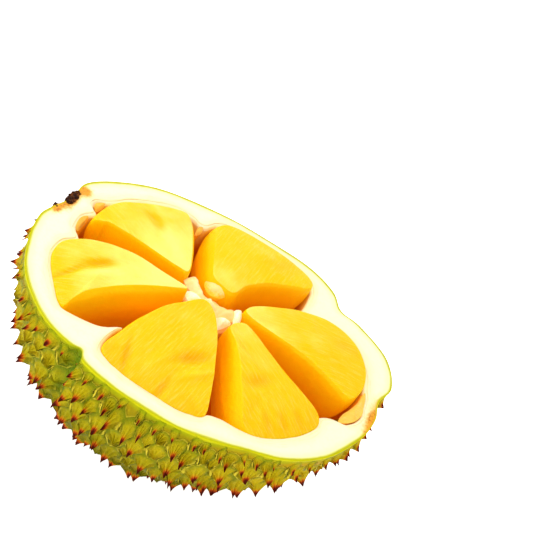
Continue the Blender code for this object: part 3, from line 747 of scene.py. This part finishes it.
def build_core(settings):
    """Soft folds of pale tissue between the bulbs' inner ends, over a lump on the hollow's floor.

    Each fold is a small soft wedge and the lump is a sphere pressed flat. Noise along the folds
    gives them wrinkles.
    """
    parts = []
    for peach, height, outline in CORE_FOLDS:
        corners = [(x, y, height - settings.fold_crown * 0.7 / MM, 2.2) for x, y in outline]
        fold = build_bulb((0, corners, ()), settings.fold_depth, settings.fold_crown, 0, 12, 5)
        points, faces = fold[:2]
        tall = smooth_step(points[:, 2], CUT_HEIGHT - 8 * MM, CUT_HEIGHT)
        points[:, 2] += uneven(points * (1, 1, 0), (3, 0.7, 47)) * tall
        parts.append((points, faces, np.full(len(points), peach)))
    sizes = np.array(CORE_LUMP) * MM
    middle = np.array([-4 * MM, 9 * MM, CUT_HEIGHT - HOLLOW_DEPTH + 8.8 * MM])
    ball = unit_sphere(32, 56) * sizes + middle
    ball[..., 2] += uneven(ball, (9, 0.8, 51))
    ends = [middle + np.array([0, 0, sizes[2] * sign]) for sign in (1, -1)]
    points, faces = closed_grid(ball, *ends)
    parts.append((points, faces, np.full(len(points), 0.5)))
    return join(parts)


def build_stub(settings):
    """The dry stalk stub: two chunks, each a lens cracked along its grain and broken at the top."""
    shell = unit_sphere(90, 150)
    parts = []
    for x, y, sizes, height in STUB_CHUNKS:
        middle = np.array([x, y, 0]) * MM + (0, 0, CUT_HEIGHT)
        points = shell * np.array(sizes) * MM
        flow = (points + middle) * np.array([1.0, 1.0, 0.35])
        rough = np.abs(lumps(flow, 2.6 * MM, 61)) * 1.6 + lumps(flow, 1.1 * MM, 63) * 0.45
        points += shell * (rough * settings.stub_roughness)[..., None]
        ceiling = height * MM + uneven(points, (3.0, 1.3, 67), (1.2, 0.5, 69))
        points[..., 2] = np.minimum(points[..., 2], ceiling)
        points += middle
        ends = [(*middle[:2], points[row, :, 2].mean()) for row in (0, -1)]
        points, faces = closed_grid(points, *ends)
        parts.append((points, faces, np.zeros(len(points))))
    return join(parts)[:2]


# Materials

# Each kind of node: its type, its usual settings, the inputs that values go to, and its output
NODE_KINDS = {
    "attribute": ("ShaderNodeAttribute", {}, (), "Fac"),
    "bump": ("ShaderNodeBump", {}, ("Height", "Distance", "Strength", "Normal"), "Normal"),
    "fraction": ("ShaderNodeMath", {"operation": "FRACT"}, (0,), 0),
    "join": ("ShaderNodeCombineXYZ", {}, ("X", "Y"), 0),
    "layout": ("ShaderNodeUVMap", {"uv_map": "Layout"}, (), 0),
    "minus": ("ShaderNodeMath", {"operation": "SUBTRACT"}, (0, 1), 0),
    "mix": ("ShaderNodeMix", {"data_type": "RGBA"}, (0, 6, 7), 2),
    "noise": ("ShaderNodeTexNoise", {}, ("Vector", "Scale", "Detail", "Roughness"), "Fac"),
    "place": ("ShaderNodeTexCoord", {}, (), "Object"),
    "split": ("ShaderNodeSeparateXYZ", {}, ("Vector",), "X"),
    "spread": (
        "ShaderNodeMapRange", {"interpolation_type": "SMOOTHSTEP"},
        ("Value", "From Min", "From Max", "To Min", "To Max"), 0,
    ),
    "stretch": ("ShaderNodeMapping", {}, ("Vector", "Scale"), 0),
    "times": ("ShaderNodeMath", {"operation": "MULTIPLY"}, (0, 1), 0),
    "times_plus": ("ShaderNodeMath", {"operation": "MULTIPLY_ADD"}, (0, 1, 2), 0),
}


def linear(code):
    """Linear colour of an sRGB hex code."""
    parts = [int(code[i : i + 2], 16) / 255 for i in (0, 2, 4)]
    return (*[p / 12.92 if p <= 0.04045 else ((p + 0.055) / 1.055) ** 2.4 for p in parts], 1)


def set_inputs(node, values):
    """Give inputs, by name or number, a link from a socket, a plain value or a hex code's colour."""
    for label, value in values.items():
        if isinstance(value, bpy.types.NodeSocket):
            node.id_data.links.new(value, node.inputs[label])
        else:
            node.inputs[label].default_value = linear(value) if isinstance(value, str) else value


def add_node(tree, kind, *values, **settings):
    """The output of a new node of this kind, with its settings and its values or links in order."""
    node_type, usual, labels, output = NODE_KINDS[kind]
    node = tree.nodes.new(node_type)
    for label, value in {**usual, **settings}.items():
        setattr(node, label, value)
    set_inputs(node, dict(zip(labels, values)))
    return node.outputs[output]


def new_material(name, *labels):
    """A material with only its shader and output, the function that adds nodes to it, the place on
    the object, and the values with these labels that the mesh stores at each point."""
    material = bpy.data.materials.new(name)
    material.use_nodes = True
    add = partial(add_node, material.node_tree)
    return material, add, add("place"), *(add("attribute", attribute_name=label) for label in labels)


def finished(material, **values):
    """The material, with its shader's inputs set."""
    named = {label.replace("_", " "): value for label, value in values.items()}
    set_inputs(material.node_tree.nodes["Principled BSDF"], named)
    return material


def coated(add, color, *coats):
    """The colour under coats, each a value, where it starts and is full, its cover and its colour,
    then values that it is multiplied by."""
    for value, start, full, cover, over, *masks in coats:
        amount = add("spread", value, start, full, 0, cover)
        for mask in masks:
            amount = add("times", amount, mask)
        color = add("mix", amount, color, over)
    return color


def scorched(add, place, dry, color):
    """The colour with the dry scars on it: ragged ochre patches with rusty flecks and a pale edge."""
    rough = add("noise", place, 1 / 0.003, 4, 0.6)
    amount = add("times_plus", rough, 0.7, dry)
    scar = add("mix", add("spread", rough, 0.48, 0.62), "EA9C04", "C87402")
    return coated(add, color, (amount, 0.45, 0.95, 0.7, "FCC040"), (amount, 0.8, 1.15, 0.95, scar))


def skin_material(settings):
    """Jackfruit skin: waxy, olive green, with dark horny thorns, and painted highlights on the ridges
    and lips of its scales over painted shade on their slopes and seams.
    """
    material, add, place, run, lower, spine, below, ray, crease, thorn, tone, dry = new_material(
        "jackfruit_skin", "run", "lower", "spine", "below", "ray", "crease", "thorn", "tone", "dry"
    )
    patches = add("noise", place, 1 / 0.035, 3)
    fine = add("noise", place, 1 / 0.0035, 4, 0.6)
    streaks = add("noise", add("stretch", place, (1, 1, 0.3)), 1 / 0.0045, 3, 0.55)
    along = add("split", place)
    color = coated(
        add, add("mix", tone, settings.light_green, settings.deep_green),
        (patches, 0.38, 0.62, 0.6, "AE9002"), (streaks, 0.5, 0.72, 0.3, "CBB216"),
        (along, -0.02, 0.14, 0.65, "D2A804"), (along, -0.07, -0.14, 0.6, "A07818"),
        # painted highlight on the upper slope of each scale, painted shade on the lower one down to the
        # fold under it
        (lower, -0.2, -0.8, 0.5, "D4C818", spine),
        (run, 0.12, 0.7, 0.85, "445602", add("spread", lower, -0.15, 0.55), spine),
    )
    # painted highlights: thin pale lips across the scale, and pale ridges to its corners
    wave = add("fraction", add("times_plus", run, 2.6, add("times", fine, 1.1)))
    wave = add("times", wave, add("times", spine, add("spread", run, 0.2, 0.4)))
    toward_corners = (add("spread", run, 0.16, 0.5), spine, add("spread", streaks, 0.3, 0.6))
    color = coated(
        add, color, (wave, 0.6, 0.95, 0.3, "CDBA18"), (ray, 0.5, 1, 0.3, "D4C41E", *toward_corners)
    )
    # under its bright edges the whole skin is a little deeper
    color = add("mix", 1, color, "E4E0C4", blend_type="MULTIPLY")
    # painted shade on the top of each scale under the lip of the scale above, a painted highlight along
    # each lip, and painted shade in the groove between scales
    ragged = add("noise", place, 1 / 0.005, 3, 0.6)
    bent = add("times_plus", ragged, 0.44, add("minus", run, 0.14))
    color = coated(add, color, (bent, 0.6, 1.05, 0.75, "566800", add("spread", lower, 0.1, -0.5)))
    # painted highlight: a pale line along the lip of each scale
    rim = add("times", add("spread", bent, 0.7, 0.88), add("spread", bent, 1.1, 0.98))
    rim = add("times", add("times", rim, spine), add("spread", lower, -0.45, 0.25))
    color = add("mix", add("times", rim, 0.9), color, "DCC836")
    # painted shade in the groove between scales, under each lip
    seam_shade = add("times", add("spread", bent, 1, 1.12), add("spread", lower, -0.5, 0))
    seam_shade = add("times", seam_shade, spine)
    color = add("mix", add("times", seam_shade, 0.6), color, "4E5C00")
    # bright lime band under the cut edge, then painted shade that deepens the skin further down its back
    edge_depth = add("times_plus", patches, 5, below)
    color = coated(
        add, color, (edge_depth, 10, 4.5, 0.5, "A2AE04"), (edge_depth, 4.8, 2.6, 0.9, "C6C20A"),
        (below, 35, 100, 0.75, "4C4C02"),
    )
    # painted shade in the crease that runs down from the dent in the rim
    color = add("mix", add("times", crease, 0.85), color, "4E7004")
    # thorns: an orange foot, then red brown, then nearly black at the tip
    worn = add("times_plus", fine, 0.1, run)
    color = coated(
        add, scorched(add, place, dry, color), (worn, 0.42, 0.27, 0.55, "D08A10", thorn),
        (worn, 0.33, 0.22, 1, "B4420E", thorn), (worn, 0.26, 0.15, 1, "4E1208", thorn),
    )
    relief = add("bump", add("minus", rim, seam_shade), 0.0012, 1, add("bump", wave, 0.001, 0.9))
    relief = add("bump", fine, 0.0005, 0.5, add("bump", streaks, 0.001, 0.6, relief))
    roughness = add("spread", fine, 0.3, 0.7, 0.48, 0.62)
    return finished(
        material, Base_Color=color, Roughness=roughness, Specular_IOR_Level=0.03, Normal=relief
    )


def flesh_material(settings):
    """Jackfruit flesh under the skin: firm, wet and ivory, lime by the skin, peach by the bulbs."""
    material, add, place, from_hollow, from_skin, below, around, dry = new_material(
        "jackfruit_flesh", "from_hollow", "from_skin", "below", "around", "dry"
    )
    cloud = add("noise", place, 1 / 0.03, 4)
    grain = add("noise", place, 1 / 0.0025, 4, 0.6)
    flow = add("join", add("times", around, 7), add("times", from_hollow, 0.55))
    streaks = add("noise", flow, 1, 3, 0.55)
    from_skin = add("times_plus", cloud, 3, from_skin)
    near = add("times_plus", cloud, -8, from_hollow)
    color = coated(
        add, settings.ivory, (grain, 0.4, 0.75, 0.35, "FAF3BC"), (from_skin, 11, 4, 0.7, "F8F6AC"),
        (from_skin, 5.2, 3.4, 0.85, "DCD840"), (from_skin, 3.9, 3, 0.95, "C2BE08"),
        (near, 5, -3.5, 0.8, "FCE9B8"),
        (streaks, 0.52, 0.68, 0.4, "F8D890", add("spread", near, 6, -2)),
    )
    color = scorched(add, place, dry, color)
    # painted shade down the hollow's wall: yellow just under the cut face, deep orange further down
    color = coated(add, color, (below, 1.5, 9, 1, "FFE07C"), (below, 9, 34, 1, "F0A01C"))
    soft = add("bump", add("noise", place, 1 / 0.008, 3), 0.0012, 0.5)
    return finished(
        material, Base_Color=color, Roughness=add("spread", grain, 0.3, 0.7, 0.4, 0.55),
        Specular_IOR_Level=0.35, Subsurface_Weight=0.25, Subsurface_Radius=(1, 0.9, 0.6),
        Subsurface_Scale=0.003, Normal=add("bump", grain, 0.0003, 0.5, soft),
    )


def bulb_material(name, colors, softness):
    """Ripe fruit flesh: golden, moist and slightly translucent, with fine fibres along it."""
    material, add, place, dent, sunk, ripe, swollen, top = new_material(
        name, "dent", "sunk", "ripe", "pale", "top"
    )
    pale, gold, amber, side, deep = colors
    blotch = add("noise", place, 1 / 0.009, 3)
    fibre = add("noise", add("stretch", add("layout"), (0.1, 1, 1)), 1 / 0.0017, 4, 0.7)
    pores = add("noise", place, 1 / 0.0012, 2, 0.6)
    ripe = add("times_plus", add("noise", place, 1 / 0.024, 3), 0.7, ripe)
    # painted shade turns the dents riper, and a painted highlight turns the swellings paler
    ripe = add("times_plus", dent, 0.5, ripe)
    ripe = add("times_plus", swollen, -0.3, ripe)
    color = coated(add, pale, (ripe, 0.3, 1.15, 1, gold), (ripe, 1.4, 1.9, 0.7, amber))
    # painted shade: the dents take the sides' colour
    color = add("mix", add("times", dent, 0.85), color, side)
    color = coated(add, color, (fibre, 0.45, 0.75, 0.3, pale), (pores, 0.6, 0.75, 0.18, pale))
    # the sides: deeper orange, partly the flesh's own colour and partly painted shade, darkening further
    # down as painted shade
    side_color = coated(add, amber, (sunk, 2, 14, 1, side), (sunk, 13, 42, 1, deep))
    flank = add("spread", top, 0.8, 0.2)
    # a faint glow of their own colour stands in for light that passes through to the sides
    warmth = add("mix", flank, "000000", side_color)
    relief = add("bump", pores, 0.0003, 0.5, add("bump", blotch, 0.0018, 0.5))
    return finished(
        material, Base_Color=add("mix", flank, color, side_color), Emission_Color=warmth,
        Emission_Strength=0.16, Roughness=add("spread", blotch, 0.3, 0.7, 0.36, 0.5),
        Specular_IOR_Level=0.07, Subsurface_Weight=softness, Subsurface_Radius=(1, 0.55, 0.08),
        Subsurface_Scale=0.007, Normal=add("bump", fibre, 0.0007, 0.8, relief),
    )


def core_material(settings):
    """Core tissue: cream, moist and fibrous, with some folds tinged peach.

    A faint glow of its own colour stands in for light that passes through the folds.
    """
    material, add, place, peach, below = new_material("jackfruit_core", "peach", "below")
    cloud = add("noise", place, 1 / 0.006, 3)
    fibre = add("noise", add("stretch", place, (1, 1, 0.3)), 1 / 0.0014, 4, 0.6)
    ragged = add("times_plus", add("noise", place, 1 / 0.0016, 5, 0.7), 9, below)
    color = coated(
        add, add("mix", peach, settings.cream, settings.peach),
        (cloud, 0.45, 0.65, 0.4, "FBD77C"), (fibre, 0.5, 0.8, 0.4, "F8C860"),
        # the fold against the tip's far bulb is golden like the bulb under a ragged pale top
        (peach, 1.2, 1.8, 1, "FDBC0A", add("spread", ragged, -0.5, 3.5, 0.1, 1)),
        # painted shade: darker orange further below the cut face
        (below, 2, 12, 1, "E89A2C"),
    )
    return finished(
        material, Base_Color=color, Emission_Color=color, Emission_Strength=0.18, Roughness=0.42,
        Subsurface_Weight=0.3, Subsurface_Radius=(1, 0.85, 0.5), Subsurface_Scale=0.003,
        Normal=add("bump", fibre, 0.0006, 0.8),
    )


def stub_material(settings):
    """Dry stalk: nearly black bark with rust and ochre where it has flaked."""
    material, add, place = new_material("jackfruit_dry_stalk")
    flake = add("noise", place, 1 / 0.004, 4, 0.6)
    grain = add("noise", add("stretch", place, (1, 1, 0.25)), 1 / 0.0012, 4, 0.7)
    color = coated(
        add, settings.bark, (flake, 0.46, 0.66, 1, "7A421A"), (grain, 0.55, 0.75, 0.75, "C08A40")
    )
    return finished(
        material, Base_Color=color, Roughness=0.8, Specular_IOR_Level=0.1,
        Normal=add("bump", grain, 0.001, 1, add("bump", flake, 0.002, 1)),
    )


def floor_material():
    """A plain, nearly white, matt studio floor, with a glow of its own that hides its shadows."""
    material = bpy.data.materials.new("studio_floor")
    material.use_nodes = True
    return finished(
        material, Base_Color="FDFDFD", Roughness=0.9, Emission_Color="FFFFFF", Emission_Strength=0.8
    )


# Settings


def number(name, description, default, **kind):
    """A setting that is a number, with its unit or subtype where one fits."""
    return bpy.props.FloatProperty(name=name, description=description, default=default, **kind)


def tint(name, description, code):
    """A setting that is a colour, from its hex code."""
    return bpy.props.FloatVectorProperty(
        name=name, description=description, default=linear(code), size=4, subtype="COLOR"
    )


class SkinSettings(bpy.types.PropertyGroup):
    spine_count: bpy.props.IntProperty(
        name="Spines", description="How many spines the whole back would hold", default=500, min=50
    )
    rim_spines: bpy.props.IntProperty(
        name="Rim spines", description="Small spines in the row next to the cut edge", default=62, min=8
    )
    spine_height: number("Spine height", "Height of the longest spines", 0.0092, unit="LENGTH")
    scatter: number("Scatter", "Sideways scatter of the spines, as a part of the half length", 0.028)
    sag: number("Sag", "How far a spine sits below the middle of its scale, in reach", 0.02)
    scale_lift: number("Scale lift", "Rise of a scale's lower lip", 0.0018, unit="LENGTH")
    facet: number("Facets", "How far a scale's faces sink between its ridges", 0.0014, unit="LENGTH")
    crisp_angle: number(
        "Crisp angle", "Sharper bends than this keep a crisp edge", math.radians(36), subtype="ANGLE"
    )
    thickness: number("Thickness", "Thickness of the green skin", 0.0012, unit="LENGTH")
    light_green: tint("Light green", "Skin of the lightest scales", "9C9002")
    deep_green: tint("Deep green", "Skin of the darkest scales", "788202")


class FleshSettings(bpy.types.PropertyGroup):
    columns: bpy.props.IntProperty(
        name="Columns", description="Columns of points round the cut face", default=620, min=60
    )
    lip: number("Lip", "Radius of the hollow's edge", 0.0012, unit="LENGTH")
    ivory: tint("Flesh", "Flesh of the cut face", "FCFBD0")


class BulbSettings(bpy.types.PropertyGroup):
    depth: number("Depth", "Depth of the bulbs under the cut face", 0.057, unit="LENGTH")
    crown: number("Crown", "Rise of a bulb's top above its edge", 0.0035, unit="LENGTH")
    draw_in: number("Lean", "Lean of the undersides to the core", 0.07)
    pale: tint("Pale flesh", "Tops where a bulb is least ripe", "FCF07E")
    gold: tint("Golden flesh", "Tops where a bulb is ripe", "FDC402")
    amber: tint("Amber flesh", "Tops where a bulb is ripest, and the upper sides", "FDBC02")
    # the colours of the sides and deep sides carry painted shade
    side: tint("Sides", "Sides of the bulbs, and their dents", "FAB402")
    deep: tint("Deep sides", "Sides of the bulbs far down", "EC9602")
    lobe_depth: number("Lobe depth", "Depth of the small lobes", 0.024, unit="LENGTH")
    lobe_crown: number("Lobe crown", "Rise of a lobe's top above its edge", 0.001, unit="LENGTH")
    lobe_flare: number("Lobe flare", "How far a lobe's sides swell out", 0.0026, unit="LENGTH")


class CoreSettings(bpy.types.PropertyGroup):
    fold_crown: number("Fold crown", "Rise of a fold's top above its edge", 0.0055, unit="LENGTH")
    fold_depth: number("Fold depth", "Depth of the folds under the cut face", 0.04, unit="LENGTH")
    cream: tint("Cream", "The palest folds", "FFF6D0")
    peach: tint("Peach", "The folds that are tinged most", "F8CE80")


class StalkSettings(bpy.types.PropertyGroup):
    stub_roughness: number("Roughness", "Depth of the cracks in the stub", 0.001, unit="LENGTH")
    bark: tint("Bark", "The darkest bark", "2A110A")


class StageSettings(bpy.types.PropertyGroup):
    elevation: number("Elevation", "Camera height angle", math.radians(40), subtype="ANGLE")
    roll: number("Roll", "Turn of the camera about its view", math.radians(36), subtype="ANGLE")
    distance: number("Distance", "Camera distance from its target", 1.08, unit="LENGTH")
    lens: number("Lens", "Focal length in millimetres on a 36 mm frame", 85)
    target: bpy.props.FloatVectorProperty(
        name="Target", description="Point at the middle of the view", default=(0.0112, 0.0898, 0.139),
        subtype="TRANSLATION",
    )
    key_power: number("Key light", "Power of the main light", 15, unit="POWER")
    fill_power: number("Fill light", "Power of the soft front light", 8, unit="POWER")
    sky: number("Sky", "Strength of the even light", 0.6)


# Operators


class JACKFRUIT_OT_skin(bpy.types.Operator):
    """Build the spiny green skin"""

    bl_idname = "jackfruit.skin"
    bl_label = "Spiny skin"

    def execute(self, context):
        settings = context.scene.jackfruit_skin
        points, faces, attributes = build_skin(settings)
        skin = ("skin", points, faces, skin_material(settings), "rind", ["rind_half"], attributes)
        add_piece(*skin, crisp_angle=settings.crisp_angle)
        return {"FINISHED"}


class JACKFRUIT_OT_flesh(bpy.types.Operator):
    """Build the pale flesh with the hollow"""

    bl_idname = "jackfruit.flesh"
    bl_label = "Pale flesh"

    def execute(self, context):
        settings = context.scene.jackfruit_flesh
        points, faces, attributes = build_flesh(settings, context.scene.jackfruit_skin)
        add_piece("flesh", points, faces, flesh_material(settings), "rind", ["rind_half"], attributes)
        return {"FINISHED"}


class JACKFRUIT_OT_bulbs(bpy.types.Operator):
    """Build the six golden bulbs"""

    bl_idname = "jackfruit.bulbs"
    bl_label = "Bulbs"

    def execute(self, context):
        settings = context.scene.jackfruit_bulbs
        colors = (settings.pale, settings.gold, settings.amber, settings.side, settings.deep)
        material = bulb_material("jackfruit_bulb", colors, 0.6)
        for name, shape in BULBS.items():
            points, faces, attributes, layout = build_bulb(
                shape, settings.depth, settings.crown, settings.draw_in, 14, 8
            )
            add_piece(f"{name}_flesh", points, faces, material, "bulb", [name], attributes, layout)
        return {"FINISHED"}


class JACKFRUIT_OT_lobes(bpy.types.Operator):
    """Build the small unfilled lobes"""

    bl_idname = "jackfruit.lobes"
    bl_label = "Lobes"

    def execute(self, context):
        settings = context.scene.jackfruit_bulbs
        material = bulb_material("jackfruit_lobe", LOBE_COLORS, 0.15)
        for name, (edge, marks) in LOBES.items():
            shape = (0, [(*corner, settings.lobe_flare / MM) for corner in edge], marks)
            points, faces, attributes, layout = build_bulb(
                shape, settings.lobe_depth, settings.lobe_crown, 0, 14, 5
            )
            add_piece(f"{name}_flesh", points, faces, material, "lobe", [name], attributes, layout)
        return {"FINISHED"}


class JACKFRUIT_OT_core(bpy.types.Operator):
    """Build the fibrous core"""

    bl_idname = "jackfruit.core"
    bl_label = "Core"

    def execute(self, context):
        settings = context.scene.jackfruit_core
        points, faces, peach = build_core(settings)
        attributes = {"peach": peach, "below": (CUT_HEIGHT - points[:, 2]) / MM}
        add_piece("core_folds", points, faces, core_material(settings), "core", ["core"], attributes)
        return {"FINISHED"}


class JACKFRUIT_OT_stalk(bpy.types.Operator):
    """Build the dry stalk stub"""

    bl_idname = "jackfruit.stalk"
    bl_label = "Stalk stub"

    def execute(self, context):
        settings = context.scene.jackfruit_stalk
        points, faces = build_stub(settings)
        add_piece("stalk_bark", points, faces, stub_material(settings), "stalk", ["stalk_stub"])
        return {"FINISHED"}


class JACKFRUIT_OT_stage(bpy.types.Operator):
    """Set the floor with its backdrop, the lights and the camera"""

    bl_idname = "jackfruit.stage"
    bl_label = "Stage"

    def execute(self, context):
        settings = context.scene.jackfruit_stage
        add_floor()
        add_light("key", (-0.45, 0.35, 1.6), (0, 0, 0.1), 0.6, settings.key_power)
        add_light("fill", (-1.1, -1.1, 0.8), (0, 0, 0.1), 1.2, settings.fill_power)
        add_sky(settings.sky)
        add_camera(settings)
        context.scene.view_settings.view_transform = "Standard"
        return {"FINISHED"}


def add_floor():
    """A wide flat square under the fruit, with a low backdrop along its four edges."""
    half = 14.0
    rise = 3.0
    square = ((-half, -half), (half, -half), (half, half), (-half, half))
    corners = [(x, y, height) for height in (0, rise) for x, y in square]
    sides = [(side, side + 4, (side + 1) % 4 + 4, (side + 1) % 4) for side in range(4)]
    mesh = bpy.data.meshes.new("floor")
    mesh.from_pydata(corners, [], [(0, 1, 2, 3)] + sides)
    mesh.materials.append(floor_material())
    floor = bpy.data.objects.new("floor", mesh)
    bpy.context.scene.collection.objects.link(floor)


def add_light(name, place, target, size, power):
    """A round lamp aimed at a target."""
    light = bpy.data.lights.new(name, "AREA")
    light.shape = "DISK"
    light.size = size
    light.energy = power
    lamp = bpy.data.objects.new(name, light)
    lamp.location = place
    aim = Vector(target) - Vector(place)
    lamp.rotation_euler = aim.to_track_quat("-Z", "Y").to_euler()
    bpy.context.scene.collection.objects.link(lamp)


def add_sky(strength):
    """Even white light from all sides."""
    world = bpy.data.worlds.new("studio")
    world.use_nodes = True
    background = world.node_tree.nodes["Background"]
    background.inputs["Color"].default_value = (1, 1, 1, 1)
    background.inputs["Strength"].default_value = strength
    bpy.context.scene.world = world


def add_camera(settings):
    """A camera that looks along +Y and down, rolled about its view."""
    rise = settings.elevation
    back = Vector((0, -math.cos(rise), math.sin(rise)))
    right = Vector((1, 0, 0))
    up = back.cross(right)
    turn = settings.roll
    across = right * math.cos(turn) + up * math.sin(turn)
    top = up * math.cos(turn) - right * math.sin(turn)
    camera = bpy.data.cameras.new("camera")
    camera.lens = settings.lens
    camera.sensor_width = 36
    holder = bpy.data.objects.new("camera", camera)
    turned = Matrix((across, top, back)).transposed().to_4x4()
    holder.matrix_world = Matrix.Translation(Vector(settings.target) + back * settings.distance) @ turned
    bpy.context.scene.collection.objects.link(holder)
    bpy.context.scene.camera = holder


class JACKFRUIT_PT_panel(bpy.types.Panel):
    bl_idname = "JACKFRUIT_PT_panel"
    bl_label = "Half Jackfruit"
    bl_space_type = "VIEW_3D"
    bl_region_type = "UI"
    bl_category = "Jackfruit"

    def draw(self, context):
        for group, (_, *operators) in GROUPS.items():
            box = self.layout.box()
            for operator in operators:
                box.operator(operator.bl_idname)
            settings = getattr(context.scene, group)
            for name in settings.bl_rna.properties.keys():
                if name not in {"rna_type", "name"}:
                    box.prop(settings, name)


GROUPS = {
    "jackfruit_skin": (SkinSettings, JACKFRUIT_OT_skin),
    "jackfruit_flesh": (FleshSettings, JACKFRUIT_OT_flesh),
    "jackfruit_bulbs": (BulbSettings, JACKFRUIT_OT_bulbs, JACKFRUIT_OT_lobes),
    "jackfruit_core": (CoreSettings, JACKFRUIT_OT_core),
    "jackfruit_stalk": (StalkSettings, JACKFRUIT_OT_stalk),
    "jackfruit_stage": (StageSettings, JACKFRUIT_OT_stage),
}


def register():
    for group, classes in GROUPS.items():
        for kind in classes:
            bpy.utils.register_class(kind)
        setattr(bpy.types.Scene, group, bpy.props.PointerProperty(type=classes[0]))
    bpy.utils.register_class(JACKFRUIT_PT_panel)


def unregister():
    bpy.utils.unregister_class(JACKFRUIT_PT_panel)
    for group, classes in GROUPS.items():
        delattr(bpy.types.Scene, group)
        for kind in classes:
            bpy.utils.unregister_class(kind)


def main():
    register()
    bpy.ops.jackfruit.skin()
    bpy.ops.jackfruit.flesh()
    bpy.ops.jackfruit.bulbs()
    bpy.ops.jackfruit.lobes()
    bpy.ops.jackfruit.core()
    bpy.ops.jackfruit.stalk()
    bpy.ops.jackfruit.stage()
    bpy.context.view_layer.update()


if __name__ == "__main__":
    main()
